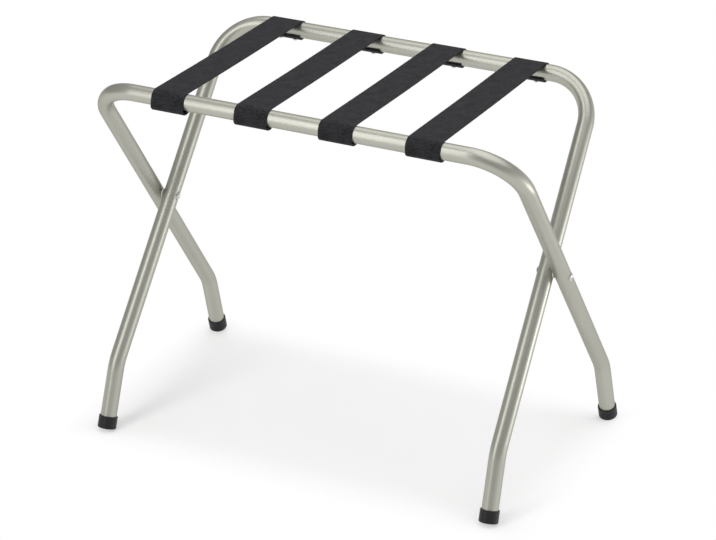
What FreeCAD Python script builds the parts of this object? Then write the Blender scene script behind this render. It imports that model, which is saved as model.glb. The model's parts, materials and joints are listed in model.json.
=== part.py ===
import FreeCAD, Part
import math
import os

Vector = FreeCAD.Vector

# Folding luggage bench: two bent tube frames crossed at two rivets, with four webbing
# straps pulled flat between the top rails. All lengths are in millimetres and all angles
# in degrees. X runs along the rails, Y from the front to the back, Z up. The origin is on
# the floor in the middle of the four feet.
#
# The outer frame carries the front rail and stands on the back feet. The inner frame
# carries the back rail, stands on the front feet and turns on the rivets.

# ---- frame tube ----
tube_od = 22.2
tube_wall = 1.5
corner_radius = 63.0        # centre line of the bend between a rail and a leg
knee_radius = 70.0          # centre line of the bend above a foot

# ---- frame outline, on the tube's centre line ----
rail_height = 493.5
rail_half_depth = 161.0     # front or back rail from the middle
pivot_height = 284.3
knee_height = 91.9
foot_half_depth = 178.1
outer_half_width = 299.5    # outer leg from the middle, at the height of the rails
leg_gap = 1.6               # free space between the outer and the inner leg
leg_splay = 1.15            # outward lean of every leg

# ---- rivets and spacers at the pivots ----
rivet_shank_d = 6.0
rivet_head_d = 10.5
rivet_head_height = 3.0
rivet_hole_clearance = 0.05
dimple_depth = 0.8          # round seat pressed into the tube under a rivet head
dimple_margin = 0.6
head_seat_gap = 0.1
spacer_od = 13.0
spacer_bore_clearance = 0.1
spacer_seat_gap = 0.3

# ---- feet ----
cap_wall = 1.75
cap_bore_clearance = 0.1
cap_height = 17.3           # from base to mouth, along the leg
cap_floor = 3.0             # below the tube's end
cap_base_radius = 1.5
cap_mouth_radius = 0.8
cap_press_depth = 0.35      # how far the floor flattens the base's lowest edge

# ---- straps ----
strap_count = 4
strap_pitch = 120.4
strap_width = 47.5
strap_thickness = 1.3
strap_seat_gap = 0.2
strap_tail_angle = 62.0     # the folded tail's end, past the lowest point of the rail
hem_start = 104.0           # from the top of a rail, where the turned-in end begins to lie under
hem_full = 128.0            # and where the webbing is double
slack_start = 75.0          # from the top of a rail, where the webbing leaves the tube
strap_slacks = [3.2, 2.0, 1.2, 0.7]  # how far each strap stands off below the front rail
back_slack = 0.4            # and all of them below the back rail

# ---- strap screws ----
screws_per_end = 2
screw_spacing = 22.0
screw_angle = 18.0          # from the lowest point of the rail towards the middle
screw_shank_d = 3.4
screw_head_d = 6.8
screw_head_height = 2.2
screw_bite = 3.0            # length of shank inside the tube's wall
screw_hole_clearance = 0.05
strap_hole_clearance = 0.3
screw_seat_gap = 0.1
back_screw_seat_gap = 0.3

tube_r = tube_od / 2
inner_half_width = outer_half_width - tube_od - leg_gap
splay_rise = math.tan(math.radians(leg_splay))
strap_inner_r = tube_r + strap_seat_gap
hem_outer_r = strap_inner_r + 2 * strap_thickness
cap_bore_r = tube_r + cap_bore_clearance
cap_outer_r = cap_bore_r + cap_wall
sides = {"left": -1, "right": 1}


def leg_x(half_width, z):
    """Distance of a leg's centre line from the middle plane at height z."""
    return half_width + (rail_height - z) * splay_rise


def leg_points(half_width, rail_end, side):
    """Rail corner, knee and floor point of one leg. rail_end is -1 for a front rail."""
    below = (pivot_height - knee_height) / (rail_height - pivot_height)
    corner = Vector(side * half_width, rail_end * rail_half_depth, rail_height)
    knee = Vector(
        side * leg_x(half_width, knee_height), -rail_end * rail_half_depth * below, knee_height
    )
    floor = Vector(side * leg_x(half_width, 0), -rail_end * foot_half_depth, 0)
    return corner, knee, floor


def lower_leg_axis(half_width, rail_end, side):
    """Floor point of a leg and the unit vector from there up the lowest stretch."""
    corner, knee, floor = leg_points(half_width, rail_end, side)
    return floor, (knee - floor).normalize()


def cap_base_place(up_leg):
    """How far up the leg from the floor a cap's base is, for the floor to press its edge flat."""
    upright = up_leg.z
    lean = math.sqrt(1 - upright * upright)
    edge_drop = cap_outer_r * lean - cap_base_radius * (upright + lean - 1)
    return (edge_drop - cap_press_depth) / upright


def rounded_path(points, radii):
    """Straight runs joined by tangent arcs, one radius for each inner point."""
    edges = []
    start = points[0]
    for before, corner, after, radius in zip(points, points[1:], points[2:], radii):
        into = (corner - before).normalize()
        out = (after - corner).normalize()
        half_turn = into.getAngle(out) / 2
        setback = radius * math.tan(half_turn)
        arc_start = corner - into * setback
        arc_end = corner + out * setback
        inward = (out - into).normalize()
        arc_middle = corner + inward * (radius / math.cos(half_turn) - radius)
        edges.append(Part.LineSegment(start, arc_start).toShape())
        edges.append(Part.Arc(arc_start, arc_middle, arc_end).toShape())
        start = arc_end
    edges.append(Part.LineSegment(start, points[-1]).toShape())
    return Part.Wire(edges)


def swept_rod(path, radius):
    """Round bar along a path."""
    first = path.Edges[0]
    profile = Part.Circle(
        first.valueAt(first.FirstParameter), first.tangentAt(first.FirstParameter), radius
    )
    return path.makePipe(Part.Face(Part.Wire(profile.toShape())))


def rail_direction(rail_end, angle):
    """Unit vector out of a rail, at an angle from straight down towards the middle."""
    turn = math.radians(angle)
    return Vector(0, -rail_end * math.sin(turn), -math.cos(turn))


def strap_middles():
    """X of each strap's centre line."""
    first = -(strap_count - 1) * strap_pitch / 2
    return [first + index * strap_pitch for index in range(strap_count)]


def screw_places(strap_x, rail_end):
    """Points on the rail's centre line under which a strap end's screws sit."""
    first = strap_x - (screws_per_end - 1) * screw_spacing / 2
    return [
        Vector(first + index * screw_spacing, rail_end * rail_half_depth, rail_height)
        for index in range(screws_per_end)
    ]


def frame_tube(half_width, rail_end):
    """One bent frame: rail, two legs and two knees, with its rivet and screw holes."""
    left = leg_points(half_width, rail_end, sides["left"])
    right = leg_points(half_width, rail_end, sides["right"])
    ends = []
    for side in sides.values():
        floor, up_leg = lower_leg_axis(half_width, rail_end, side)
        ends.append(floor + up_leg * (cap_base_place(up_leg) + cap_floor))
    points = [ends[0], left[1], left[0], right[0], right[1], ends[1]]
    radii = [knee_radius, corner_radius, corner_radius, knee_radius]
    path = rounded_path(points, radii)
    tube = swept_rod(path, tube_r).cut(swept_rod(path, tube_r - tube_wall))

    cutters = []
    pivot_x = leg_x(half_width, pivot_height)
    hole_r = rivet_shank_d / 2 + rivet_hole_clearance
    dimple_r = rivet_head_d / 2 + dimple_margin
    outward = 1 if half_width == outer_half_width else -1
    for side in sides.values():
        axis = Vector(side, 0, 0)
        centre = Vector(side * pivot_x, 0, pivot_height)
        cutters.append(Part.makeCylinder(hole_r, 2 * tube_od, centre - axis * tube_od, axis))
        seat = centre + axis * outward * (tube_r - dimple_depth)
        cutters.append(Part.makeCylinder(dimple_r, tube_r, seat, axis * outward))
    screw_hole_r = screw_shank_d / 2 + screw_hole_clearance
    for strap_x in strap_middles():
        for place in screw_places(strap_x, rail_end):
            down = rail_direction(rail_end, screw_angle)
            cutters.append(Part.makeCylinder(screw_hole_r, tube_od, place, down))
    return tube.cut(cutters)


def turned(edges, base, axis):
    """Solid turned from a half profile in the XZ plane, set on base with its Z along axis."""
    profile = Part.Face(Part.Wire(Part.__sortEdges__(edges)))
    solid = profile.revolve(Vector(0, 0, 0), Vector(0, 0, 1), 360)
    solid.Placement = FreeCAD.Placement(base, FreeCAD.Rotation(Vector(0, 0, 1), axis))
    return solid


def profile_line(points):
    """Straight edges of a half profile through (radius, height) points."""
    places = [Vector(radius, 0, height) for radius, height in points]
    return [Part.LineSegment(a, b).toShape() for a, b in zip(places, places[1:])]


def dome_arc(radius, height, base_height):
    """Half outline of a domed head from its rim to its top. A negative height points down."""
    ball_r = (radius * radius + height * height) / (2 * abs(height))
    upward = math.copysign(1, height)
    half_angle = math.asin(radius / ball_r) / 2
    middle_height = base_height + height - upward * ball_r * (1 - math.cos(half_angle))
    rim = Vector(radius, 0, base_height)
    middle = Vector(ball_r * math.sin(half_angle), 0, middle_height)
    top = Vector(0, 0, base_height + height)
    return Part.Arc(rim, middle, top).toShape()


def pivot_rivet(side):
    """Shank through both legs, with a domed head on the far face of each."""
    outer_seat = leg_x(outer_half_width, pivot_height) + tube_r - dimple_depth + head_seat_gap
    inner_seat = leg_x(inner_half_width, pivot_height) - tube_r + dimple_depth - head_seat_gap
    grip = outer_seat - inner_seat
    head_r = rivet_head_d / 2
    shank_r = rivet_shank_d / 2
    edges = profile_line([(head_r, 0), (shank_r, 0), (shank_r, grip), (head_r, grip)])
    edges += profile_line([(0, -rivet_head_height), (0, grip + rivet_head_height)])
    edges.append(dome_arc(head_r, -rivet_head_height, 0))
    edges.append(dome_arc(head_r, rivet_head_height, grip))
    return turned(edges, Vector(side * inner_seat, 0, pivot_height), Vector(side, 0, 0))


def pivot_spacer(side):
    """Flat ring on the rivet that keeps the two legs apart."""
    thickness = leg_gap - 2 * spacer_seat_gap
    middle = (leg_x(outer_half_width, pivot_height) + leg_x(inner_half_width, pivot_height)) / 2
    axis = Vector(side, 0, 0)
    base = Vector(side * (middle - thickness / 2), 0, pivot_height)
    ring = Part.makeCylinder(spacer_od / 2, thickness, base, axis)
    bore_r = rivet_shank_d / 2 + spacer_bore_clearance
    return ring.cut(Part.makeCylinder(bore_r, thickness, base, axis))


def quarter_round(centre, radius, start_angle):
    """Quarter circle of a half profile, turning anticlockwise from start_angle."""
    turns = [math.radians(start_angle + step) for step in (0, 45, 90)]
    places = [
        Vector(centre[0] + radius * math.cos(turn), 0, centre[1] + radius * math.sin(turn))
        for turn in turns
    ]
    return Part.Arc(*places).toShape()


def foot_cap(half_width, rail_end, side):
    """Moulded cap square to the leg's end, its lowest edge pressed flat on the floor."""
    floor, up_leg = lower_leg_axis(half_width, rail_end, side)
    base_r, mouth_r = cap_outer_r - cap_base_radius, cap_outer_r - cap_mouth_radius
    well = cap_floor - cap_bore_clearance
    edges = profile_line([(0, well), (0, 0), (base_r, 0)])
    edges.append(quarter_round((base_r, cap_base_radius), cap_base_radius, -90))
    edges += profile_line([(cap_outer_r, cap_base_radius), (cap_outer_r, cap_height - cap_mouth_radius)])
    edges.append(quarter_round((mouth_r, cap_height - cap_mouth_radius), cap_mouth_radius, 0))
    edges += profile_line([(mouth_r, cap_height), (cap_bore_r, cap_height), (cap_bore_r, well), (0, well)])
    cap = turned(edges, floor + up_leg * cap_base_place(up_leg), up_leg)
    block = 4 * cap_outer_r
    return cap.cut(Part.makeBox(block, block, block, floor - Vector(block / 2, block / 2, block)))


def rail_point(rail_end, radius, angle):
    """Point beside a rail at an angle from its top, turning away from the middle."""
    turn = math.radians(angle)
    return Vector(
        0,
        rail_end * (rail_half_depth + radius * math.sin(turn)),
        rail_height + radius * math.cos(turn),
    )


def strap_face(rail_end, slack, layers, upto):
    """One face of the webbing round a rail: an arc where it is tight, then a curve to the tail.

    layers is 0 for the face next to the rail and 1 for the outer face, which steps out by one
    more thickness where the end is turned in under it.
    """
    def radius(angle):
        share = min(max((angle - slack_start) / (180.0 + screw_angle - slack_start), 0.0), 1.0)
        off = slack * math.sin(math.pi * share) ** 2
        step = min(max((angle - hem_start) / (hem_full - hem_start), 0.0), 1.0)
        doubled = step * step * (3 - 2 * step)
        return strap_inner_r + off + layers * strap_thickness * (1 + doubled)

    tight = [rail_point(rail_end, radius(0), slack_start * part) for part in (0, 0.5, 1)]
    steps = 24
    angles = [slack_start + (upto - slack_start) * step / steps for step in range(steps + 1)]
    loose = Part.BSplineCurve()
    loose.interpolate(
        Points=[rail_point(rail_end, radius(angle), angle) for angle in angles],
        InitialTangent=rail_point(rail_end, 1, slack_start + 90) - rail_point(rail_end, 0, 0),
        FinalTangent=rail_point(rail_end, 1, upto + 90) - rail_point(rail_end, 0, 0),
    )
    return [Part.Arc(*tight).toShape(), loose.toShape()], loose.EndPoint


def strap(strap_x, slack):
    """Webbing drawn flat from rail to rail, wrapped round both and hemmed, with screw holes."""
    wrap = 180.0 + strap_tail_angle
    edges = []
    for rail_end, off in ((-1, slack), (1, back_slack)):
        inner, inner_tail = strap_face(rail_end, off, 0, wrap)
        outer, outer_tail = strap_face(rail_end, off, 1, wrap)
        edges += inner + outer
        edges.append(Part.LineSegment(inner_tail, outer_tail).toShape())
    for radius in (strap_inner_r, strap_inner_r + strap_thickness):
        run = Part.LineSegment(rail_point(-1, radius, 0), rail_point(1, radius, 0))
        edges.append(run.toShape())
    outline = Part.Wire(Part.__sortEdges__(edges))
    outline.translate(Vector(strap_x - strap_width / 2, 0, 0))
    webbing = Part.Face(outline).extrude(Vector(strap_width, 0, 0))

    hole_r = screw_shank_d / 2 + strap_hole_clearance
    holes = []
    for rail_end in (-1, 1):
        for place in screw_places(strap_x, rail_end):
            down = rail_direction(rail_end, screw_angle)
            holes.append(Part.makeCylinder(hole_r, tube_od, place, down))
    return webbing.cut(holes)


def strap_screws(strap_x, rail_end):
    """Dome head screws that hold one strap end to its rail."""
    seat_gap = screw_seat_gap if rail_end == -1 else back_screw_seat_gap
    head_base = hem_outer_r + seat_gap
    tip = tube_r - tube_wall - screw_bite
    head_r = screw_head_d / 2
    shank_r = screw_shank_d / 2
    edges = profile_line([(0, tip), (shank_r, tip), (shank_r, head_base), (head_r, head_base)])
    edges += profile_line([(0, tip), (0, head_base + screw_head_height)])
    edges.append(dome_arc(head_r, screw_head_height, head_base))
    down = rail_direction(rail_end, screw_angle)
    return Part.makeCompound([turned(edges, place, down) for place in screw_places(strap_x, rail_end)])


def build():
    """Every piece of the bench, by its name."""
    pieces = {
        "outer_frame": frame_tube(outer_half_width, -1),
        "inner_frame": frame_tube(inner_half_width, 1),
    }
    for name, side in sides.items():
        pieces["pivot_rivet_" + name] = pivot_rivet(side)
        pieces["pivot_spacer_" + name] = pivot_spacer(side)
        pieces["foot_back_" + name] = foot_cap(outer_half_width, -1, side)
        pieces["foot_front_" + name] = foot_cap(inner_half_width, 1, side)
    for number, strap_x in enumerate(strap_middles(), start=1):
        label = "strap_" + str(number)
        pieces[label] = strap(strap_x, strap_slacks[number - 1])
        pieces[label + "_front_screws"] = strap_screws(strap_x, -1)
        pieces[label + "_back_screws"] = strap_screws(strap_x, 1)
    return pieces


os.makedirs("parts", exist_ok=True)
for node, shape in build().items():
    shape.exportStep("parts/" + node + ".step")
    print(node, len(shape.Solids), "solid(s)", "valid" if shape.isValid() else "NOT VALID")
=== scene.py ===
"""Folding luggage bench: finishes, webbing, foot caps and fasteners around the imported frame.

Laid out as an add-on and run as a script. Lengths are metres, angles radians unless a name says
degrees. X runs along the rails, Y from front to back, Z up.
"""

import json
import math
from functools import partial

import bpy
import numpy as np
from bpy.props import FloatProperty, FloatVectorProperty, IntProperty, PointerProperty
from mathutils import Matrix, Vector


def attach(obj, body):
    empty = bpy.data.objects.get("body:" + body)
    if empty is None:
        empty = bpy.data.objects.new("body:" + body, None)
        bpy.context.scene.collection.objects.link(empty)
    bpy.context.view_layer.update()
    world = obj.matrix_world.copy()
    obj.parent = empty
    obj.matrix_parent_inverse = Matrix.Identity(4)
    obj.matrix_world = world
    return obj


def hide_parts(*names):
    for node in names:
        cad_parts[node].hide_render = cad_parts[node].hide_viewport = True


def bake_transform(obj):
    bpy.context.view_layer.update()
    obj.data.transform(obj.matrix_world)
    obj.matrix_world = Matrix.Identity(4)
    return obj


bl_info = {
    "name": "Folding Luggage Bench",
    "version": (1, 0, 0),
    "blender": (4, 5, 0),
    "location": "View3D > Sidebar > Bench",
    "description": "Tube frames, webbing straps, foot caps, rivets and screws of a folding bench",
    "category": "Add Mesh",
}

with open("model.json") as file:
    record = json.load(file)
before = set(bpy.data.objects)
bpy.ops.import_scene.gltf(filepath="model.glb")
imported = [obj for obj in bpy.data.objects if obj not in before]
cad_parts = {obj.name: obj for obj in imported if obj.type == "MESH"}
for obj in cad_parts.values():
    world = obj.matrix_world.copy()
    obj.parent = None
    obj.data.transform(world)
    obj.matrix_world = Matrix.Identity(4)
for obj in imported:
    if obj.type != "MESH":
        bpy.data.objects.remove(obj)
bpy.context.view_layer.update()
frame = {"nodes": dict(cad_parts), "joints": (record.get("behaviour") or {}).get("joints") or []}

OUTER_BODY = "outer_leg_frame"
INNER_BODY = "inner_leg_frame"
SIDES = {"left": -1, "right": 1}
FRONT, BACK = -1, 1
FULL_TURN = 2 * math.pi
STRAP_NODES = sorted(n for n in frame["nodes"] if n.removeprefix("strap_").isdigit())
FOLD = next(joint for joint in frame["joints"] if joint["name"] == "fold")
PIVOT_HEIGHT = FOLD["pos_m"][2]

# --- settings


def metres(name, default, description):
    """Setting for a length."""
    return FloatProperty(name=name, description=description, default=default, unit="LENGTH")


def degrees(name, default, description):
    """Setting for an angle, given in degrees and kept in radians."""
    return FloatProperty(
        name=name, description=description, default=math.radians(default), subtype="ANGLE")


def tint(name, default, description):
    """Setting for a colour."""
    return FloatVectorProperty(
        name=name, description=description, default=default, size=3, subtype="COLOR")


class TubeSettings(bpy.types.PropertyGroup):
    diameter: metres("Tube diameter", 0.0222, "Outside diameter of the frame tube")
    rail_height: metres("Rail height", 0.4935, "Centre line of both rails above the floor")
    rail_half_depth: metres("Rail half depth", 0.1610, "Centre line of a rail from the middle")
    knee_height: metres("Knee height", 0.0919, "Corner of the bend above a foot")
    foot_half_depth: metres(
        "Foot half depth", 0.1781, "A leg's centre line from the middle at the floor")
    outer_half_width: metres(
        "Outer half width", 0.2995, "Outer leg from the middle at the rails' height")
    leg_gap: metres("Leg gap", 0.0016, "Free space between the outer and the inner leg")
    splay: degrees("Leg splay", 1.15, "Outward lean of the legs")
    corner_radius: metres(
        "Corner radius", 0.063, "Centre line of the bend between rail and leg")
    knee_radius: metres("Knee radius", 0.070, "Centre line of the bend above a foot")
    corner_flat: metres(
        "Corner flattening", 0.0016, "How far the outer side of a corner bend is drawn in")
    colour: tint("Tube colour", (0.468, 0.464, 0.410), "Satin metal finish of the frames")


class PivotSettings(bpy.types.PropertyGroup):
    shank_diameter: metres("Shank diameter", 0.006, "Rivet shank")
    head_diameter: metres("Head diameter", 0.0105, "Domed rivet head")
    head_height: metres("Head height", 0.003, "Domed rivet head")
    dimple_depth: metres(
        "Dimple depth", 0.0008, "Round seat pressed into the tube under a rivet head")
    dimple_radius: metres("Dimple radius", 0.00585, "Round seat under a rivet head")
    seat_gap: metres("Seat gap", 0.0001, "Free space under a rivet head")
    colour: tint("Rivet colour", (0.62, 0.62, 0.60), "Polished steel")
    spacer_colour: tint("Spacer colour", (0.72, 0.72, 0.69), "Pale plastic between the legs")


class FootSettings(bpy.types.PropertyGroup):
    wall: metres("Cap wall", 0.00175, "Thickness of the cap's wall")
    bore_clearance: metres("Bore clearance", 0.0001, "Free space round the tube in the cap")
    height: metres("Cap height", 0.0173, "Base to mouth along the leg")
    floor: metres("Cap floor", 0.003, "Rubber under the tube's end")
    base_round: metres("Base rounding", 0.0015, "Rounded edge of the cap's base")
    mouth_round: metres("Mouth rounding", 0.0008, "Rounded edge of the cap's mouth")
    press: metres(
        "Base press", 0.00035, "Height of the lowest edge that is worn flat on the floor")
    ring_count: IntProperty(
        name="Ring count", description="Moulded rings round the cap", default=6)
    ring_depth: metres("Ring depth", 0.00026, "Depth of the moulded rings round the cap")
    ring_width: metres("Ring width", 0.00040, "Half width of a moulded ring's groove")
    colour: tint("Cap colour", (0.009, 0.009, 0.0095), "Black rubber")


class WebbingSettings(bpy.types.PropertyGroup):
    width: metres("Strap width", 0.0475, "Width of the webbing")
    thickness: metres("Strap thickness", 0.0013, "Thickness of the webbing")
    seat_gap: metres("Seat gap", 0.0002, "Free space between the webbing and a rail")
    pitch: metres("Strap pitch", 0.1204, "Distance between neighbouring straps")
    tail_angle: degrees("Tail angle", 62, "Tail's end past the lowest point of the rail")
    hem_start: degrees(
        "Hem start", 104, "From the top of the rail to where the turned end lifts it")
    hem_full: degrees(
        "Hem full", 128, "From the top of the rail to where the webbing lies double")
    slack_start: degrees("Slack start", 75, "From the top of the rail to where slack begins")
    front_slack: FloatVectorProperty(
        name="Front slack", default=(0.0032, 0.0020, 0.0012, 0.0007), size=4, subtype="XYZ",
        description="How far each strap hangs off the front rail, left to right")
    back_slack: metres("Back slack", 0.0004, "How far the straps hang off the back rail")
    sag: metres("Sag", 0.0007, "Dip of the webbing half way between the rails")
    warp_pitch: metres(
        "Warp pitch", 0.0011, "Distance between the yarns that run along the strap")
    weft_pitch: metres("Weft pitch", 0.0010, "Distance between the yarns that cross the strap")
    fold_overrun: metres(
        "Fold overrun", 0.007, "How far past each rail's centre line the webbing begins to turn")
    colour: tint("Webbing colour", (0.0128, 0.0129, 0.0142), "Black woven yarn")


class ScrewSettings(bpy.types.PropertyGroup):
    per_end: IntProperty(
        name="Screws per end", description="Screws that hold one strap end", default=2)
    spacing: metres("Screw spacing", 0.022, "Between the screws of one strap end")
    angle: degrees("Screw angle", 18, "From straight down towards the middle")
    shank_diameter: metres("Shank diameter", 0.0034, "Screw shank")
    head_diameter: metres("Head diameter", 0.0068, "Domed screw head")
    head_height: metres("Head height", 0.0022, "Domed screw head")
    colour: tint("Screw colour", (0.80, 0.80, 0.80), "Bright plated steel")


class StageSettings(bpy.types.PropertyGroup):
    camera_place: FloatVectorProperty(
        name="Camera place", default=(1.4713, -2.9497, 1.6997), size=3, subtype="TRANSLATION",
        description="Where the camera stands")
    camera_yaw: degrees("Camera yaw", 26.382, "Turn of the view from straight along Y to the left")
    camera_pitch: degrees("Camera pitch", -24.054, "Tilt of the view above the horizon")
    camera_roll: degrees("Camera roll", 0.504, "Turn about the line of sight")
    lens: FloatProperty(
        name="Lens", description="Focal length in millimetres on a 36 mm sensor", default=134.97)


def settings(name):
    """One of the scene's property groups, by its name without the prefix."""
    return getattr(bpy.context.scene, "bench_" + name)


def smooth(share):
    """Smooth step: three times the square less twice the cube."""
    return share * share * (3 - 2 * share)


# --- meshes


def unit(vector):
    """The same direction with length one, for one vector or rows of them."""
    return vector / np.linalg.norm(vector, axis=-1, keepdims=True)


def turned(vector, axis, angle):
    """Vector turned about an axis by one angle, or by each of a column of them."""
    fixed = axis * (axis @ vector)
    return fixed + (vector - fixed) * np.cos(angle) + np.cross(axis, vector) * np.sin(angle)


def ring_mesh(name, grid, start_pole, end_pole, uv=None, field=None):
    """Closed skin over rings of points.

    grid[i, j] is point j of ring i. Quads join each point to the next on its ring and to the same
    one on the next ring, and a fan closes each end on its pole. uv gives two values a point, and
    field a vector a point, kept as the attribute named by its first entry.
    """
    rings, count = grid.shape[:2]
    points = np.vstack([grid.reshape(-1, 3), start_pole, end_pole])
    index = np.arange(rings * count).reshape(rings, count)
    after = np.roll(index, -1, axis=1)
    quads = np.stack([index[:-1], after[:-1], after[1:], index[1:]], axis=-1).reshape(-1, 4)
    tips = np.full((2, count), index.size) + [[0], [1]]
    fans = np.stack([[after[0], index[-1]], [index[0], after[-1]], tips], axis=-1)
    corner = np.concatenate([quads.ravel(), fans.ravel()]).astype(np.int32)
    size = np.repeat([4, 3], [len(quads), 2 * count]).astype(np.int32)
    mesh = bpy.data.meshes.new(name)
    mesh.vertices.add(len(points))
    mesh.vertices.foreach_set("co", points.astype(np.float32).ravel())
    mesh.loops.add(len(corner))
    mesh.loops.foreach_set("vertex_index", corner)
    mesh.polygons.add(len(size))
    mesh.polygons.foreach_set("loop_start", np.cumsum(size) - size)
    mesh.polygons.foreach_set("loop_total", size)
    mesh.polygons.foreach_set("use_smooth", np.ones(len(size), bool))
    mesh.update(calc_edges=True)
    if uv is not None:
        write_uv(mesh, uv, corner, size, count)
    if field is not None:
        write_field(mesh, *field)
    mesh.validate()
    return mesh


def write_uv(mesh, uv, corner, size, count):
    """UV map in metres. uv has one more column than the rings, for the second side of the seam."""
    layer = mesh.uv_layers.new(name="surface")
    ring, column = np.minimum(corner // count, len(uv) - 1), corner % count
    start = np.cumsum(size) - size
    lowest, highest = np.minimum.reduceat(column, start), np.maximum.reduceat(column, start)
    crosses = np.repeat((lowest == 0) & (highest == count - 1), size)
    column = np.where(crosses & (column == 0), count, column)
    layer.data.foreach_set("uv", uv[ring, column].astype(np.float32).ravel())


def write_field(mesh, name, values):
    """Vector attribute on the points. Poles past the last ring repeat its last value."""
    flat = values.reshape(-1, 3)
    poles = np.repeat(flat[-1:], len(mesh.vertices) - len(flat), axis=0)
    layer = mesh.attributes.new(name, "FLOAT_VECTOR", "POINT")
    layer.data.foreach_set("vector", np.vstack([flat, poles]).astype(np.float32).ravel())


def link_object(name, data):
    """New object in the scene."""
    thing = bpy.data.objects.new(name, data)
    bpy.context.scene.collection.objects.link(thing)
    return thing


def add_piece(name, meshes, material, body, node):
    """Joins meshes into one object with its finish and body, in a node's place."""
    piece = link_object(name, meshes[0])
    others = [link_object(name + ".part", mesh) for mesh in meshes[1:]]
    if others:
        with bpy.context.temp_override(
            active_object=piece, selected_editable_objects=[piece, *others]
        ):
            bpy.ops.object.join()
    piece.data.name = name
    piece.data.materials.clear()
    piece.data.materials.append(material)
    if body is not None:
        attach(piece, body)
    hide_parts(node)
    return piece


def turned_grid(profile, base, axis, count):
    """Surface of revolution.

    profile holds (radius, height) rows. The point at angle a is the base, plus the radius times a
    unit vector turned by a about the axis, plus the height along the axis.
    """
    axis = unit(axis)
    spare = [0.0, 0.0, 1.0] if abs(axis[2]) < 0.9 else [1.0, 0.0, 0.0]
    angle = np.arange(count)[:, None] * FULL_TURN / count
    radial = turned(unit(np.cross(spare, axis)), axis, angle)
    radius, height = np.transpose(profile)[..., None, None]
    return base + radius * radial + height * axis


def dome_profile(radius, height, base_height, rim_round, steps):
    """(radius, height) rows of a low dome from its rim to near its top.

    A slice of a ball of radius (r*r + h*h) / 2h, with a small rounding at the rim that is drawn in
    by a share of the rim's radius.
    """
    drawn, rim_end, top_share = 0.6, 0.9, 0.04
    ball = (radius ** 2 + height ** 2) / (2 * height)
    edge = math.asin(radius / ball)
    sweep = np.linspace(edge, top_share * edge, steps)
    rows = np.stack([ball * np.sin(sweep), base_height + height - ball * (1 - np.cos(sweep))], 1)
    turn = np.linspace(0, rim_end * np.pi / 2, 4)
    lip = np.stack([
        radius - rim_round * (1 - np.sin(turn)) * drawn,
        base_height + rim_round * (1 - np.cos(turn)) * drawn], 1)
    rows[:, 1] = np.maximum(rows[:, 1], lip[-1, 1])
    keep = rows[:, 0] < lip[-1, 0]
    return np.vstack([lip, rows[keep]])


# --- frame tubes


def leg_x(half_width, height):
    """Distance of a leg's centre line from the middle plane at a height."""
    tube = settings("tube")
    return half_width + (tube.rail_height - height) * math.tan(tube.splay)


def half_widths():
    """Half width of the outer and of the inner frame at the rails' height."""
    tube = settings("tube")
    return tube.outer_half_width, tube.outer_half_width - tube.diameter - tube.leg_gap


def leg_points(half_width, rail_end, side):
    """Rail corner, knee and floor point of one leg."""
    tube = settings("tube")
    below = (PIVOT_HEIGHT - tube.knee_height) / (tube.rail_height - PIVOT_HEIGHT)
    corner = np.array([side * half_width, rail_end * tube.rail_half_depth, tube.rail_height])
    knee = np.array([
        side * leg_x(half_width, tube.knee_height),
        -rail_end * tube.rail_half_depth * below,
        tube.knee_height])
    floor = np.array([side * leg_x(half_width, 0), -rail_end * tube.foot_half_depth, 0.0])
    return corner, knee, floor


def run_stations(start, direction, length):
    """Distances along a straight run: coarse steps, and fine ones where a leg passes the rivet."""
    coarse_step, fine_step, fine_reach, clear, least_slope = 0.008, 0.0004, 0.008, 0.009, 0.1
    coarse = np.linspace(0, length, max(2, int(length / coarse_step)), endpoint=False)
    rivet = -start[1] / direction[1] if abs(direction[1]) > least_slope else -1
    if not 0 < rivet < length:
        return coarse
    fine = rivet + np.arange(-fine_reach, fine_reach, fine_step)
    return np.unique(np.concatenate([coarse[np.abs(coarse - rivet) > clear], fine]))


def cap_radius():
    """Outside radius of a foot cap."""
    foot = settings("foot")
    return settings("tube").diameter / 2 + foot.bore_clearance + foot.wall


def cap_base_place(up_leg):
    """Middle of a cap's base from the leg's floor point, up the leg.

    The cap's lowest edge stands lower than that middle by its radius times the leg's lean, less
    what the rounded edge takes off, and it is pressed into the floor's level a little.
    """
    foot = settings("foot")
    upright = up_leg[2]
    lean = math.sqrt(1 - upright ** 2)
    edge_drop = cap_radius() * lean - foot.base_round * (upright + lean - 1)
    return (edge_drop - foot.press) / upright


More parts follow.
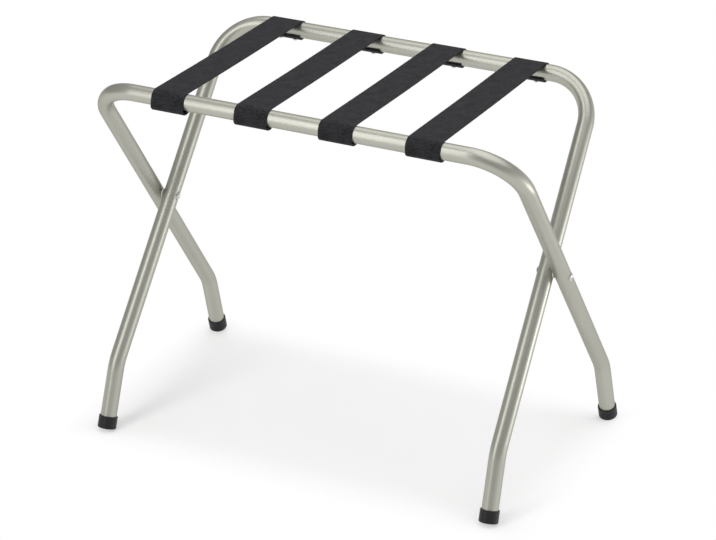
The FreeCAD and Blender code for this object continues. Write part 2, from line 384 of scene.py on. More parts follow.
def bent_path(points, radii, flats, arc_step):
    """Centre line of a bent tube and a frame that doesn't twist along it.

    On a run the point moves straight. On a bend of radius r it is the bend's start plus
    r (into sin a + inward (1 - cos a)), and the side vector turns with it about the bend's axis.
    Returns rows of place, direction, side vector, bend axis, flattening and distance. The
    flattening rises as the sine of the way round the bend.
    """
    rows = []
    start, travelled = points[0], 0.0
    side = unit(np.cross(points[1] - points[0], [0.0, 1.0, 0.0]))
    ends = list(zip(points, points[1:], points[2:], radii, flats))
    for before, corner, after, radius, amount in ends + [(points[-2], points[-1], None, 0, 0)]:
        into = unit(corner - before)
        side = unit(side - into * (side @ into))
        setback = 0.0
        if after is not None:
            out = unit(after - corner)
            turn = math.acos(into @ out)
            setback = radius * math.tan(turn / 2)
        run = np.linalg.norm(corner - into * setback - start)
        steps = run_stations(start, into, run)
        if after is None:
            steps = np.append(steps, run)
        place = start + steps[:, None] * into
        still = np.zeros_like(place)
        rows.append((place, still + into, still + side, still, still[:, 0], travelled + steps))
        travelled += run
        if after is None:
            break
        bend_start = start + into * run
        inward = unit(out - into * (into @ out))
        normal = np.cross(into, inward)
        a = np.linspace(0, turn, max(6, int(radius * turn / arc_step)), endpoint=False)[:, None]
        place = bend_start + radius * (into * np.sin(a) + inward * (1 - np.cos(a)))
        rows.append((place, turned(into, normal, a), turned(side, normal, a),
                     np.zeros_like(place) + normal, amount * np.sin(np.pi * a[:, 0] / turn),
                     travelled + radius * a[:, 0]))
        travelled += radius * turn
        start = corner + out * setback
        side = turned(side, normal, turn)
    return [np.concatenate(column) for column in zip(*rows)]


def press_dimple(grid, half_width, outward):
    """Flattens the tube to a round seat at each rivet.

    Inside the dimple's radius the distance from the middle plane is limited to the seat's, and
    the limit fades out over a narrow rim.
    """
    tube, pivot = settings("tube"), settings("pivot")
    rim_width = 0.0006
    centre = leg_x(half_width, PIVOT_HEIGHT)
    seat = centre + outward * (tube.diameter / 2 - pivot.dimple_depth)
    reach = np.hypot(grid[..., 1], grid[..., 2] - PIVOT_HEIGHT)
    fade = smooth(np.clip((reach - pivot.dimple_radius) / rim_width, 0, 1))
    away = np.abs(grid[..., 0])
    limited = np.minimum(away, seat) if outward > 0 else np.maximum(away, seat)
    on_face = (away - centre) * outward > 0
    pressed = np.where(on_face, limited + (away - limited) * fade, away)
    grid[..., 0] = np.sign(grid[..., 0]) * pressed
    return grid


def tube_mesh(name, half_width, rail_end):
    """Skin of one bent frame.

    Each ring is the centre point plus r (side cos a + third sin a). In a corner bend a ring's
    outer side is drawn in by the flattening times the square of its share of the outward
    direction, and its flanks swell by a quarter of that, as they do on a bent tube.
    """
    tube = settings("tube")
    count, bend_step, flank_share = 72, 0.0016, 0.25
    points = []
    for hand in SIDES.values():
        corner, knee, floor = leg_points(half_width, rail_end, hand)
        up_leg = unit(knee - floor)
        end = floor + up_leg * (cap_base_place(up_leg) + settings("foot").floor)
        points += [end, knee, corner][::-hand]
    radii = [tube.knee_radius, tube.corner_radius, tube.corner_radius, tube.knee_radius]
    flats = [0.0, tube.corner_flat, tube.corner_flat, 0.0]
    place, along, side, axis, flat, distance = bent_path(points, radii, flats, bend_step)
    angle = np.arange(count) * FULL_TURN / count
    third = np.cross(along, side)
    ring = np.cos(angle)[:, None] * side[:, None] + np.sin(angle)[:, None] * third[:, None]
    outer_way = np.cross(along, axis)[:, None]
    facing = np.clip((ring * outer_way).sum(-1, keepdims=True), 0, 1)
    flank = (ring * axis[:, None]).sum(-1, keepdims=True)
    radius = tube.diameter / 2
    grid = place[:, None] + radius * ring
    squeeze = flat[:, None, None]
    grid = grid - squeeze * facing ** 2 * outer_way
    grid = grid + flank_share * squeeze * flank * axis[:, None]
    outward = 1 if half_width == half_widths()[0] else -1
    grid = press_dimple(grid, half_width, outward)
    uv = np.stack(np.broadcast_arrays(
        np.append(angle, FULL_TURN) * radius, distance[:, None]), axis=-1)
    space = np.stack(np.broadcast_arrays(
        np.cos(angle) * radius, np.sin(angle) * radius, distance[:, None]), axis=-1)
    return ring_mesh(name, grid, place[0], place[-1], uv, ("tube_space", space))


# --- materials


def feed(tree, socket, value):
    """Gives an input socket a value, or a link from another node's output."""
    if isinstance(value, bpy.types.NodeSocket):
        tree.links.new(value, socket)
    else:
        socket.default_value = value


def set_inputs(tree, node, **values):
    """Feeds a node's sockets by name, with _ for a space."""
    for name, value in values.items():
        feed(tree, node.inputs[name.replace("_", " ")], value)
    return node


def add_node(tree, kind, **values):
    """New shader node, with its sockets fed by name."""
    return set_inputs(tree, tree.nodes.new("ShaderNode" + kind), **values)


def math_node(tree, operation, *values):
    """Math node over numbers or output sockets; returns its output."""
    node = tree.nodes.new("ShaderNodeMath")
    node.operation = operation
    for socket, value in zip(node.inputs, values):
        feed(tree, socket, value)
    return node.outputs[0]


def mix_colours(tree, share, first, second):
    """Colour between two others, by a share that is a value or a socket."""
    node = tree.nodes.new("ShaderNodeMix")
    node.data_type = "RGBA"
    for index, value in ((0, share), (6, (*first, 1.0)), (7, (*second, 1.0))):
        feed(tree, node.inputs[index], value)
    return node.outputs[2]


def shade(colour, gain, lift=0.0):
    """Colour times a gain, plus a lift."""
    return tuple(min(1.0, c * gain + lift) for c in colour)


def empty_tree(block):
    """Node tree of a material or a world, with nothing in it."""
    block.use_nodes = True
    block.node_tree.nodes.clear()
    return block.node_tree


def new_material(name):
    """New material and its empty node tree."""
    material = bpy.data.materials.new(name)
    return material, empty_tree(material)


def add_finish(tree, colour, height, depth, strength, **values):
    """Principled shader with a colour, a bump over a height and other values, and the output."""
    bump = add_node(tree, "Bump", Height=height, Distance=depth, Strength=strength)
    shader = add_node(
        tree, "BsdfPrincipled", Base_Color=colour, Normal=bump.outputs["Normal"], **values)
    add_node(tree, "OutputMaterial", Surface=shader.outputs["BSDF"])


def new_group(name, scales, outputs):
    """Shader node group over coordinates, with a default for each scale and named outputs."""
    group = bpy.data.node_groups.new(name, "ShaderNodeTree")
    add_socket = group.interface.new_socket
    add_socket(name="Vector", in_out="INPUT", socket_type="NodeSocketVector")
    for label, default in scales.items():
        socket = add_socket(name=label, in_out="INPUT", socket_type="NodeSocketFloat")
        socket.default_value = default
    for label in outputs:
        add_socket(name=label, in_out="OUTPUT", socket_type="NodeSocketFloat")
    return group, group.nodes.new("NodeGroupInput"), group.nodes.new("NodeGroupOutput")


def add_group(tree, group, **values):
    """Places a group in a material with its own values."""
    node = tree.nodes.new("ShaderNodeGroup")
    node.node_tree = group
    return set_inputs(tree, node, **values)


def mottle_group():
    """Two scales of noise over any coordinates, as a tone and a fine height.

    Vector is the pattern's coordinates, Broad and Fine its scales per metre.
    """
    group, entry, leave = new_group(
        "mottled_surface", {"Broad": 20.0, "Fine": 900.0}, ["Tone", "Height"])
    for label, target, detail in (("Broad", "Tone", 3.0), ("Fine", "Height", 2.0)):
        noise = add_node(
            group, "TexNoise", Vector=entry.outputs["Vector"], Scale=entry.outputs[label],
            Detail=detail, Roughness=0.55)
        group.links.new(noise.outputs["Fac"], leave.inputs[target])
    return group


def add_mottle(tree, vector, broad, fine):
    """Places the mottle group over coordinates; returns its tone and its height."""
    group = bpy.data.node_groups.get("mottled_surface") or mottle_group()
    node = add_group(tree, group, Vector=vector, Broad=broad, Fine=fine)
    return node.outputs["Tone"], node.outputs["Height"]


def object_place(tree):
    """Object coordinates."""
    return add_node(tree, "TexCoord").outputs["Object"]


def tube_finish():
    """Satin metal: streaks drawn out along the tube, a soft tone and a fine grain."""
    colour = settings("tube").colour
    material, tree = new_material("satin_champagne_metal")
    space = add_node(tree, "Attribute")
    space.attribute_name = "tube_space"
    space = space.outputs["Vector"]
    drawn_out = add_node(tree, "Mapping", Vector=space, Scale=(1.0, 1.0, 0.012))
    streak, ridges = add_mottle(tree, drawn_out.outputs["Vector"], broad=420.0, fine=900.0)
    soft, grain = add_mottle(tree, space, broad=14.0, fine=1500.0)
    calc = partial(math_node, tree)
    tone = calc("MULTIPLY_ADD", streak, 0.35, calc("MULTIPLY", soft, 0.65))
    add_finish(
        tree, mix_colours(tree, tone, shade(colour, 0.90), shade(colour, 1.08)),
        height=calc("MULTIPLY_ADD", ridges, 0.7, grain), depth=0.000006, strength=0.5,
        Roughness=calc("MULTIPLY_ADD", ridges, 0.10, 0.34),
        Metallic=0.9, Specular_Tint=(0.60, 0.58, 0.54, 1.0))
    return material


def steel_finish(name, colour, roughness):
    """Bright plated or polished steel with faint handling marks."""
    material, tree = new_material(name)
    tone, marks = add_mottle(tree, object_place(tree), broad=260.0, fine=4200.0)
    add_finish(
        tree, mix_colours(tree, tone, shade(colour, 0.86), colour),
        height=marks, depth=0.00002, strength=0.4, Metallic=1.0,
        Roughness=math_node(tree, "MULTIPLY_ADD", marks, 0.14, roughness))
    return material


def moulded_finish(name, colour, roughness, fine, depth):
    """Rubber or plastic with a moulded grain and slightly uneven gloss."""
    material, tree = new_material(name)
    tone, grain = add_mottle(tree, object_place(tree), broad=90.0, fine=fine)
    share = math_node(tree, "MULTIPLY", tone, 0.6)
    add_finish(
        tree, mix_colours(tree, share, colour, shade(colour, 1.5, 0.004)),
        height=grain, depth=depth, strength=0.6, Specular_IOR_Level=0.30,
        Roughness=math_node(tree, "MULTIPLY_ADD", tone, 0.2, roughness))
    return material


def weave_group():
    """Twill webbing over a UV map in metres.

    Each yarn along the strap is an arch across its own width. It rises and sinks along its length
    as it passes over and under the cross yarns, a quarter turn later on each next yarn, which
    makes the diagonal of the twill. The diagonal turns back every eight yarns.
    """
    group, entry, leave = new_group(
        "twill_weave", {"Warp": 900.0, "Weft": 1000.0}, ["Height", "Yarn"])
    calc = partial(math_node, group)
    split = add_node(group, "SeparateXYZ", Vector=entry.outputs["Vector"])
    across = calc("MULTIPLY", split.outputs["X"], entry.outputs["Warp"])
    along = calc("MULTIPLY", split.outputs["Y"], entry.outputs["Weft"])
    yarn = calc("FLOOR", across)
    arch = calc("ABSOLUTE", calc("SINE", calc("MULTIPLY", across, math.pi)))
    phase = calc("MULTIPLY_ADD", calc("PINGPONG", yarn, 8.0), 0.25, calc("MULTIPLY", along, 0.5))
    lift = calc("MULTIPLY_ADD", calc("SINE", calc("MULTIPLY", phase, FULL_TURN)), 0.5, 0.5)
    height = calc("MULTIPLY", calc("POWER", arch, 0.5), calc("MULTIPLY_ADD", lift, 0.7, 0.3))
    cell = add_node(group, "CombineXYZ", X=yarn, Y=calc("FLOOR", along))
    random = add_node(group, "TexWhiteNoise", Vector=cell.outputs["Vector"])
    random.noise_dimensions = "2D"
    set_inputs(group, leave, Height=height, Yarn=random.outputs["Value"])
    return group


def webbing_finish():
    """Black woven yarn: twill weave, a tone for each yarn, clouds, patches and a soft sheen.

    The colour's share between dark and pale is the weighted sum of those tones, less an offset.
    The weave's height is the bump and also goes into that sum as painted shade: the hollows
    between yarns are painted darker and the raised yarns paler. The clouds are drawn out across
    the strap, and the patches are even.
    """
    web = settings("webbing")
    material, tree = new_material("black_webbing")
    calc = partial(math_node, tree)
    place = add_node(tree, "UVMap")
    place.uv_map = "surface"
    place = place.outputs["UV"]
    weave = add_group(
        tree, weave_group(), Vector=place, Warp=1 / web.warp_pitch, Weft=1 / web.weft_pitch)
    relief_and_hollow_shade, yarn = weave.outputs["Height"], weave.outputs["Yarn"]
    crossways = add_node(tree, "Mapping", Vector=place, Scale=(0.4, 1.0, 1.0))
    cloud, fuzz = add_mottle(tree, crossways.outputs["Vector"], broad=420.0, fine=1500.0)
    patch, fleck = add_mottle(tree, place, broad=70.0, fine=650.0)
    # The weave's height in this sum is painted shade: darker in the hollows between yarns, paler
    # on the raised yarns.
    weights = ((relief_and_hollow_shade, 0.30), (yarn, 0.15), (cloud, 0.9), (patch, 0.8), (fleck, 1.7))
    share = -1.55
    for tone, weight in weights:
        share = calc("MULTIPLY_ADD", tone, weight, share)
    share = calc("MINIMUM", calc("MAXIMUM", share, 0.0), 1.0)
    add_finish(
        tree, mix_colours(tree, share, shade(web.colour, 0.2), shade(web.colour, 3.2)),
        height=calc("MULTIPLY_ADD", fuzz, 0.25, relief_and_hollow_shade), depth=0.00022, strength=0.8,
        Roughness=0.78, Specular_IOR_Level=0.18, Sheen_Weight=0.03, Sheen_Roughness=0.5,
        Sheen_Tint=(0.75, 0.78, 0.9, 1.0))
    return material


# --- straps


def wrap_radius(turn, slack, lift):
    """Middle of the webbing's thickness from the rail's centre, at angles from the rail's top.

    It is the rail's radius, the seat gap and half the thickness, plus a smooth bulge of slack
    between the slack's start and the screws, plus lift times the smooth rise over the hem.
    """
    tube, web, screw = settings("tube"), settings("webbing"), settings("screw")
    bare = tube.diameter / 2 + web.seat_gap + web.thickness / 2
    share = np.clip((turn - web.slack_start) / (math.pi + screw.angle - web.slack_start), 0, 1)
    rise = np.clip((turn - web.hem_start) / (web.hem_full - web.hem_start), 0, 1)
    return bare + slack * np.sin(np.pi * share) ** 2 + lift * smooth(rise)


def rail_wrap(rail_end, tails, slack):
    """Webbing round one rail, from its hidden end to the top: places in Y and Z.

    Two layers follow the wrap's radius: the end that is turned in lies against the rail, and the
    outer one a thickness further out. A half circle joins them at the tail. tails gives the
    fold's angle for each column of points.
    """
    tube, web = settings("tube"), settings("webbing")
    layer_gap, hem_margin = 0.00005, 0.02
    apart = web.thickness + layer_gap
    inner_start = web.hem_full + hem_margin
    centre = np.array([rail_end * tube.rail_half_depth, tube.rail_height])
    steps = np.linspace(0, 1, 44)[:, None]
    inner_turn = inner_start + (tails - inner_start) * steps
    inner = wrap_radius(inner_turn, slack, 0.0)
    half = np.linspace(0, np.pi, 12)[1:-1, None]
    middle = (inner[-1] + wrap_radius(tails, slack, apart)) / 2
    fold_radius = middle - np.cos(half) * apart / 2
    fold_turn = tails + np.sin(half) * apart / 2 / middle
    outer_turn = tails * np.linspace(1, 0, 96)[:, None]
    outer = wrap_radius(outer_turn, slack, apart)
    radius = np.vstack([inner, fold_radius, outer])
    turn = np.vstack([inner_turn, fold_turn, outer_turn])
    around = np.stack([rail_end * np.sin(turn), np.cos(turn)], axis=-1)
    return centre + radius[..., None] * around


def strap_line(front_tails, back_tails, front_slack):
    """Middle of a strap's thickness from end to end, one column of places for each tail angle.

    The wrap of the front rail, a shallow dip between the rails, and the wrap of the back rail
    turned back. The dip is the sag times the square of one less the squared share of the way from
    the middle. Returns the places in Y and Z, their upward normals and the distances along.
    """
    tube, web = settings("tube"), settings("webbing")
    top = tube.rail_height + wrap_radius(0.0, 0.0, 0.0)
    front = rail_wrap(FRONT, front_tails, front_slack)
    back = rail_wrap(BACK, back_tails, web.back_slack)[::-1]
    share = np.linspace(-1, 1, 140)[1:-1, None] * np.ones_like(front_tails)
    span = np.stack([
        share * tube.rail_half_depth, top - web.sag * (1 - share ** 2) ** 2], axis=-1)
    place = np.concatenate([front, span, back])
    gap = np.linalg.norm(np.diff(place, axis=0), axis=-1)
    distance = np.vstack([np.zeros_like(front_tails), np.cumsum(gap, axis=0)])
    ahead = unit(np.gradient(place, axis=0))
    normal = np.stack([-ahead[..., 1], ahead[..., 0]], axis=-1)
    return place, normal, distance


def strap_section(width, thickness):
    """Closed outline across the webbing: flat faces, a fuller selvedge, rounded edges.

    Goes round clockwise seen along the strap. Returns offsets across and out.
    """
    fullness, selvedge = 0.10, 0.0022
    half, edge = width / 2, thickness / 2
    flat = np.linspace(-(half - edge), half - edge, 26)
    bead = 1 + fullness * np.exp(-((half - np.abs(flat)) / selvedge) ** 2)
    round_turn = np.linspace(0, np.pi, 8)[1:-1]
    right = np.stack([half - edge + edge * np.sin(round_turn), edge * np.cos(round_turn)], 1)
    top = np.stack([flat, edge * bead], 1)
    bottom = np.stack([flat[::-1], -edge * bead], 1)
    return np.vstack([top, right, bottom, -right])


def webbing_mesh(name, strap_x, slack, skew, drift):
    """Webbing of one strap: the section carried along the strap's line.

    A point is the line's place, plus the offset out times the normal, plus the offset across
    along X. skew turns each fold's angle across the width, and drift moves each end along X.
    """
    web = settings("webbing")
    tail_radius = 0.0126
    across, out = strap_section(web.width, web.thickness).T
    tail = math.pi + web.tail_angle - web.thickness / tail_radius
    place, normal, distance = strap_line(tail + skew[0] * across, tail + skew[1] * across, slack)
    length = float(distance[-1].mean())
    share = distance / distance[-1]
    sideways = drift[0] + (drift[1] - drift[0]) * smooth(share)
    grid = np.empty(place.shape[:2] + (3,))
    grid[..., 0] = strap_x + sideways + across
    grid[..., 1:] = place + normal * out[:, None]
    seam = np.append(across, across[0])
    lower = np.append(out < 0, out[0] < 0)
    u = np.where(lower, web.width * 2 - seam, seam) + web.width
    middle = distance.mean(axis=1, keepdims=True)
    uv = np.stack(np.broadcast_arrays(u, middle), axis=-1)
    return ring_mesh(
        name, grid[:, ::-1], grid[0].mean(0), grid[-1].mean(0), uv[:, ::-1]), length


# --- feet


def cap_mesh(name, half_width, rail_end, side):
    """Foot cap turned about the leg: rounded base, ringed wall, rounded mouth and the bore.

    The wall's radius is the cap's, less a groove of Gaussian section at each moulded ring. Where
    the leaning base would pass below the floor's level it is raised to it.
    """
    tube, foot = settings("tube"), settings("foot")
    ring_margin, lip, inside = 0.0018, 0.0004, foot.floor - 0.00005
    _, knee, floor = leg_points(half_width, rail_end, side)
    up_leg = unit(knee - floor)
    bore = tube.diameter / 2 + foot.bore_clearance
    outer = cap_radius()
    base, mouth, height = foot.base_round, foot.mouth_round, foot.height
    turn = np.linspace(0, math.pi / 2, 8)
    rise, run = 1 - np.cos(turn), 1 - np.sin(turn)
    lift = np.linspace(base, height - mouth, 60)[1:]
    rings = np.linspace(base + ring_margin, height - mouth - ring_margin, foot.ring_count)
    groove = np.exp(-((lift[:, None] - rings) / foot.ring_width) ** 2).sum(1) * foot.ring_depth
    profile = np.vstack([
        [(outer * share, 0.0) for share in (0.2, 0.4, 0.6, 0.8)],
        np.stack([outer - base * run, base * rise], 1),
        np.stack([outer - groove, lift], 1),
        np.stack([outer - mouth * rise, height - mouth * run], 1)[1:],
        np.stack([bore + lip * run, height - lip * rise], 1)[1:],
        [(bore, inside), (bore * 0.6, inside)]])
    start = floor + up_leg * cap_base_place(up_leg)
    grid = turned_grid(profile, start, up_leg, count=72)
    grid[..., 2] = np.maximum(grid[..., 2], 0.0)
    return ring_mesh(name, grid, start, start + up_leg * inside)


# --- rivets and screws


def rivet_mesh(name, side):
    """Set rivet turned about the pivot line: two domed heads and the shank between them."""
    tube, pivot = settings("tube"), settings("pivot")
    outer, inner = half_widths()
    reach = tube.diameter / 2 - pivot.dimple_depth + pivot.seat_gap
    high = leg_x(outer, PIVOT_HEIGHT) + reach
    low = leg_x(inner, PIVOT_HEIGHT) - reach
    rim_round = 0.0005
    dome = dome_profile(pivot.head_diameter / 2, pivot.head_height, 0.0, rim_round, 14)
    shank = pivot.shank_diameter / 2
    far = dome + [0, high - low]
    near = dome[::-1] * [1, -1]
    profile = np.vstack([near, [(shank, 0.0), (shank, high - low)], far])
    grid = turned_grid(profile, (side * low, 0, PIVOT_HEIGHT), (side, 0, 0), count=48)
    poles = [(side * (low - pivot.head_height), 0, PIVOT_HEIGHT),
             (side * (high + pivot.head_height), 0, PIVOT_HEIGHT)]
    return ring_mesh(name, grid, *poles)


RECESS_DEPTH = 0.0011


def cross_recess(grid, centre, axis, turn, top):
    """Sinks a cross slot into a screw head.

    The slot's depth falls off from the middle along two crossed bars: a point inside either bar's
    half width and length is lowered along the axis, less the further it is from the middle. Only
    the upper part of the head is lowered. The first bar is turned from X, square to the axis.
    """
    reach, half, edge = 0.0019, 0.00042, 0.00012
    lowest, rise = 0.45 * top, 0.2 * top
    bar = turned(np.array([1.0, 0.0, 0.0]), axis, turn)
    offset = grid - centre
    a, b = offset @ bar, offset @ np.cross(axis, bar)
    depth = np.zeros(a.shape)
    for p, q in ((a, b), (b, a)):
        inside = np.clip((half - np.abs(q)) / edge + 1, 0, 1)
        length = np.clip(1 - np.abs(p) / reach, 0, 1) ** 0.5
        depth = np.maximum(depth, inside * length)
    raised = np.clip((offset @ axis - lowest) / rise, 0, 1)
    return grid - axis * (depth * raised * RECESS_DEPTH)[..., None]


def screw_meshes(name, strap_x, rail_end, turns):
    """Domed screws of one strap end, each turned about its own line out of the rail."""
    tube, web, screw = settings("tube"), settings("webbing"), settings("screw")
    down = np.array([0.0, -rail_end * math.sin(screw.angle), -math.cos(screw.angle)])
    head_gap = {FRONT: 0.0001, BACK: 0.0003}
    depth_in_rail, chamfer, rim_round = 0.0045, 0.0003, 0.0004
    seat = tube.diameter / 2 + web.seat_gap + 2 * web.thickness + head_gap[rail_end]
    tip = tube.diameter / 2 - depth_in_rail
    shank, head = screw.shank_diameter / 2, screw.head_diameter / 2
    dome = dome_profile(head, screw.head_height, seat, rim_round, 26)
    profile = np.vstack([[(shank * 0.2, tip), (shank * 0.8, tip), (shank, tip + chamfer),
                          (shank, seat), (head * 0.9, seat)], dome])
    meshes = []
    for index, turn in enumerate(turns):
        x = strap_x + (index - (screw.per_end - 1) / 2) * screw.spacing
        rail = np.array([x, rail_end * tube.rail_half_depth, tube.rail_height])
        grid = turned_grid(profile, rail, down, count=72)
        grid = cross_recess(grid, rail + down * seat, down, turn, screw.head_height)
        top = rail + down * (seat + screw.head_height - RECESS_DEPTH)
        meshes.append(ring_mesh(name, grid, rail + down * tip, top))
    return meshes


# --- operators


def frame_tubes():
    """Each frame's name, half width, rail's end, feet's end and body."""
    outer, inner = half_widths()
    return (("outer", outer, FRONT, "back", OUTER_BODY),
            ("inner", inner, BACK, "front", INNER_BODY))


def strap_places():
    """Each strap's node and the middle of its width along X, from left to right."""
    middle, pitch = (len(STRAP_NODES) - 1) / 2, settings("webbing").pitch
    return [(node, (index - middle) * pitch) for index, node in enumerate(STRAP_NODES)]


class BENCH_OT_frames(bpy.types.Operator):
    """Make the two bent tube frames"""

    bl_idname = "bench.frames"
    bl_label = "Tube frames"

    def execute(self, context):
        satin = tube_finish()
        for which, half_width, rail_end, _, body in frame_tubes():
            mesh = tube_mesh(which + "_tube", half_width, rail_end)
            add_piece(mesh.name, [mesh], satin, body, which + "_frame")
        return {"FINISHED"}


class BENCH_OT_feet(bpy.types.Operator):
    """Make the four rubber foot caps"""

    bl_idname = "bench.feet"
    bl_label = "Foot caps"

    def execute(self, context):
        rubber = moulded_finish(
            "black_foot_rubber", settings("foot").colour, 0.30, fine=1400.0, depth=0.00006)
        for side_name, side in SIDES.items():
            for _, half_width, rail_end, feet_end, body in reversed(frame_tubes()):
                label = feet_end + "_" + side_name
                mesh = cap_mesh("cap_" + label, half_width, rail_end, side)
                add_piece(mesh.name, [mesh], rubber, body, "foot_" + label)
        return {"FINISHED"}


class BENCH_OT_pivots(bpy.types.Operator):
    """Make the rivets and finish the spacers"""

    bl_idname = "bench.pivots"
    bl_label = "Rivets and spacers"

    def execute(self, context):
        pivot = settings("pivot")
        steel = steel_finish("polished_rivet_steel", pivot.colour, roughness=0.26)
        plastic = moulded_finish(
            "white_spacer_plastic", pivot.spacer_colour, 0.40, fine=1800.0, depth=0.00002)
        for side_name, side in SIDES.items():
            mesh = rivet_mesh("rivet_" + side_name, side)
            add_piece(mesh.name, [mesh], steel, OUTER_BODY, "pivot_" + mesh.name)
            spacer = frame["nodes"]["pivot_spacer_" + side_name]
            spacer.data.materials.clear()
            spacer.data.materials.append(plastic)
        return {"FINISHED"}


class BENCH_OT_straps(bpy.types.Operator):
    """Weave the four straps and stretch them between the rails"""

    bl_idname = "bench.straps"
    bl_label = "Webbing straps"

    def execute(self, context):
        tube, web = settings("tube"), settings("webbing")
        yarn = webbing_finish()
        random = np.random.default_rng(41)
        for index, (node, strap_x) in enumerate(strap_places()):
            skew = random.uniform(-2.5, 2.5, 2)
            drift = [0.0, -0.003] if index == 0 else random.uniform(-0.0006, 0.0006, 2)
            name = "webbing_" + str(index + 1)
            mesh, length = webbing_mesh(name, strap_x, web.front_slack[index], skew, drift)
            piece = add_piece(name, [mesh], yarn, None, node)
            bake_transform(piece)
        return {"FINISHED"}


class BENCH_OT_screws(bpy.types.Operator):
    """Make the screws under the strap ends"""

    bl_idname = "bench.screws"
    bl_label = "Strap screws"

    def execute(self, context):
        screw = settings("screw")
        steel = steel_finish("plated_screw_steel", screw.colour, roughness=0.16)
        random = np.random.default_rng(7)
        for index, (node, strap_x) in enumerate(strap_places()):
            for end, rail_end, body in (("front", FRONT, OUTER_BODY), ("back", BACK, INNER_BODY)):
                name = "screws_" + end + "_" + str(index + 1)
                turns = random.uniform(0, math.pi / 2, screw.per_end)
                meshes = screw_meshes(name, strap_x, rail_end, turns)
                add_piece(
                    name, meshes, steel, body, node + "_" + end + "_screws")
        return {"FINISHED"}


# --- stage


# Each lamp's place, its width and height, and its brightness.
LAMPS = {
    "overhead_box": ((0.25, 0.35, 2.2), (3.2, 2.0), 1.25),
    "key_box": ((-0.70, -1.60, 1.39), (0.6, 2.4), 3.0),
    "right_box": ((1.2, 0.4, 0.16), (0.4, 0.3), 5.0),
}
LAMP_TARGET = (0.0, 0.0, 0.3)
# A reflection turns grey between a start and an end along an axis: ceiling, left, front.
GREY_SIDES = (("Z", 0.06, 0.42), ("X", -0.45, -0.80), ("Y", -0.10, -0.55))
WHITE = (1.0, 1.0, 1.0)
CEILING_GREY = (0.40, 0.40, 0.40)
ROOM_GREY = (0.58, 0.58, 0.58, 1.0)
FLOOR_PAINT = (0.96, 0.96, 0.96, 1.0)
FLOOR_HALF_SIDE = 30.0
# Half the size of the rectangle of the feet, and how the share of plain white rises out of it.
FEET_REACH = (("X", 0.31), ("Y", 0.175))
WHITE_START, WHITE_END, LEAST_WHITE = -0.045, 0.05, 0.04


def add_softbox(name, place, size, brightness):
    """Rectangular lamp that faces the bench. A brightness of one looks as bright as white."""
    lamp = bpy.data.lights.new(name, "AREA")
    lamp.shape = "RECTANGLE"
    lamp.size, lamp.size_y = size
    lamp.energy = brightness * math.pi * size[0] * size[1]
    holder = link_object(name, lamp)
    holder.visible_camera = False
    facing = (Vector(place) - Vector(LAMP_TARGET)).to_track_quat("Z", "Y")
    holder.matrix_world = Matrix.LocRotScale(Vector(place), facing, None)


def seen_directly(tree, path):
    """One for camera, glossy and transmission rays, zero for the rest."""
    seen = math_node(tree, "ADD", path.outputs["Is Camera Ray"], path.outputs["Is Glossy Ray"])
    seen = math_node(tree, "ADD", seen, path.outputs["Is Transmission Ray"])
    return math_node(tree, "MINIMUM", seen, 1.0)


def smooth_range(tree, value, start, end, low=0.0):
    """Value that turns smoothly from low at a start to one at an end."""
    node = add_node(
        tree, "MapRange", Value=value, From_Min=start, From_Max=end, To_Min=low, To_Max=1.0)
    node.interpolation_type = "SMOOTHSTEP"
    return node.outputs["Result"]


def mix_shaders(tree, share, first, second):
    """Shader between two others."""
    node = add_node(tree, "MixShader")
    for socket, value in zip(node.inputs, (share, first, second)):
        tree.links.new(value, socket)
    return node.outputs["Shader"]


def make_world():
    """White backdrop under a grey ceiling, and an even grey room for diffuse light.

    The camera sees white everywhere. Reflections see the white backdrop behind and to the right,
    up to the ceiling and round to the grey walls in front and on the left.
    """
    world = bpy.data.worlds.new("studio")
    bpy.context.scene.world = world
    world.cycles.sampling_method = "NONE"
    tree = empty_tree(world)
    path, place = add_node(tree, "LightPath"), add_node(tree, "TexCoord")
    split = add_node(tree, "SeparateXYZ", Vector=place.outputs["Generated"])
    grey = 0.0
    for axis, start, end in GREY_SIDES:
        side = smooth_range(tree, split.outputs[axis], start, end)
        grey = math_node(tree, "MAXIMUM", grey, side)
    reflected = math_node(tree, "SUBTRACT", 1.0, path.outputs["Is Camera Ray"])
    grey = math_node(tree, "MULTIPLY", grey, reflected)
    backdrop = add_node(
        tree, "Background", Color=mix_colours(tree, grey, WHITE, CEILING_GREY), Strength=1.0)
    room = add_node(tree, "Background", Color=ROOM_GREY, Strength=1.0)
    add_node(tree, "OutputWorld", Surface=mix_shaders(
        tree, seen_directly(tree, path), room.outputs["Background"],
        backdrop.outputs["Background"]))


def make_floor():
    """White floor that takes the bench's soft shadow and turns plain white away from it.

    The share of plain white rises over the distance outside the rectangle of the feet.
    """
    side = FLOOR_HALF_SIDE
    corners = [(-side, -side, 0), (side, -side, 0), (side, side, 0), (-side, side, 0)]
    mesh = bpy.data.meshes.new("floor")
    mesh.from_pydata(corners, [], [(0, 1, 2, 3)])
    floor = link_object("floor", mesh)
    material, tree = new_material("white_floor")
    material.cycles.emission_sampling = "NONE"
    paint = add_node(tree, "BsdfDiffuse", Color=FLOOR_PAINT)
    glow = add_node(tree, "Emission", Color=(*WHITE, 1.0), Strength=1.0)
    split = add_node(tree, "SeparateXYZ", Vector=object_place(tree))
    calc = partial(math_node, tree)
    beyond = [calc("SUBTRACT", calc("ABSOLUTE", split.outputs[axis]), reach)
              for axis, reach in FEET_REACH]
    plain = smooth_range(tree, calc("MAXIMUM", *beyond), WHITE_START, WHITE_END, LEAST_WHITE)
    share = calc("MULTIPLY", seen_directly(tree, add_node(tree, "LightPath")), plain)
    add_node(tree, "OutputMaterial", Surface=mix_shaders(
        tree, share, paint.outputs["BSDF"], glow.outputs["Emission"]))
    mesh.materials.append(material)


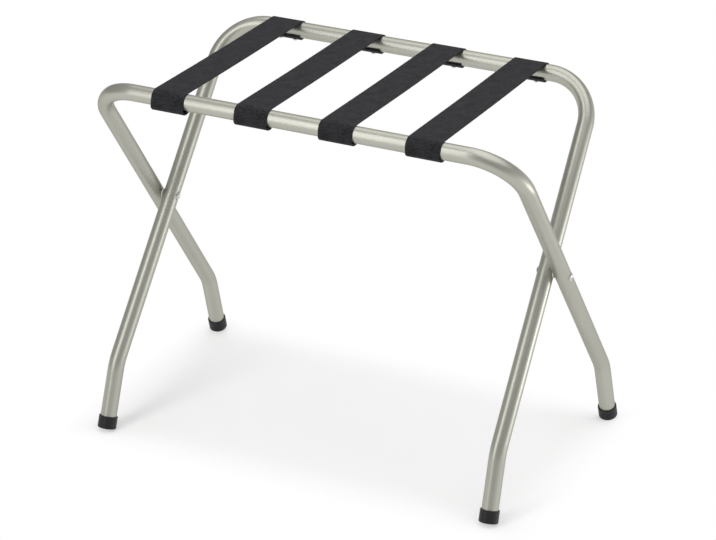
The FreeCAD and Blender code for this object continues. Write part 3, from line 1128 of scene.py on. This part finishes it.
def make_camera():
    """Camera at its place, aimed by yaw, pitch and roll."""
    stage = settings("stage")
    data = bpy.data.cameras.new("camera")
    data.sensor_width = 36.0
    data.lens = stage.lens
    data.clip_end = 200.0
    camera = link_object("camera", data)
    camera.matrix_world = (
        Matrix.Translation(stage.camera_place) @ Matrix.Rotation(stage.camera_yaw, 4, "Z")
        @ Matrix.Rotation(math.pi / 2 + stage.camera_pitch, 4, "X")
        @ Matrix.Rotation(stage.camera_roll, 4, "Z"))
    bpy.context.scene.camera = camera


class BENCH_OT_stage(bpy.types.Operator):
    """Set up the floor, the light and the camera"""

    bl_idname = "bench.stage"
    bl_label = "Stage"

    def execute(self, context):
        context.scene.view_settings.view_transform = "Standard"
        make_world()
        make_floor()
        for name, (place, size, brightness) in LAMPS.items():
            add_softbox(name, place, size, brightness)
        make_camera()
        return {"FINISHED"}


class BENCH_PT_panel(bpy.types.Panel):
    """Lists the bench's pieces in the sidebar"""

    bl_idname = "BENCH_PT_panel"
    bl_label = "Luggage bench"
    bl_space_type = "VIEW_3D"
    bl_region_type = "UI"
    bl_category = "Bench"

    def draw(self, context):
        for operator in OPERATORS:
            self.layout.operator(operator.bl_idname)
        for name in GROUPS:
            group = getattr(context.scene, name)
            box = self.layout.box()
            for prop in group.bl_rna.properties:
                if prop.identifier not in ("rna_type", "name"):
                    box.prop(group, prop.identifier)


GROUPS = {
    "bench_tube": TubeSettings,
    "bench_pivot": PivotSettings,
    "bench_foot": FootSettings,
    "bench_webbing": WebbingSettings,
    "bench_screw": ScrewSettings,
    "bench_stage": StageSettings,
}
OPERATORS = [
    BENCH_OT_stage, BENCH_OT_frames, BENCH_OT_feet, BENCH_OT_pivots, BENCH_OT_straps,
    BENCH_OT_screws]
CLASSES = [*GROUPS.values(), *OPERATORS, BENCH_PT_panel]


def register():
    """Registers the settings, the operators and the panel."""
    for each in CLASSES:
        bpy.utils.register_class(each)
    for name, group in GROUPS.items():
        setattr(bpy.types.Scene, name, PointerProperty(type=group))


def unregister():
    """Removes them again."""
    for name in GROUPS:
        delattr(bpy.types.Scene, name)
    for each in reversed(CLASSES):
        bpy.utils.unregister_class(each)


def main():
    """Makes every piece and the stage."""
    register()
    bpy.ops.bench.stage()
    bpy.ops.bench.frames()
    bpy.ops.bench.feet()
    bpy.ops.bench.pivots()
    bpy.ops.bench.straps()
    bpy.ops.bench.screws()


if __name__ == "__main__":
    main()
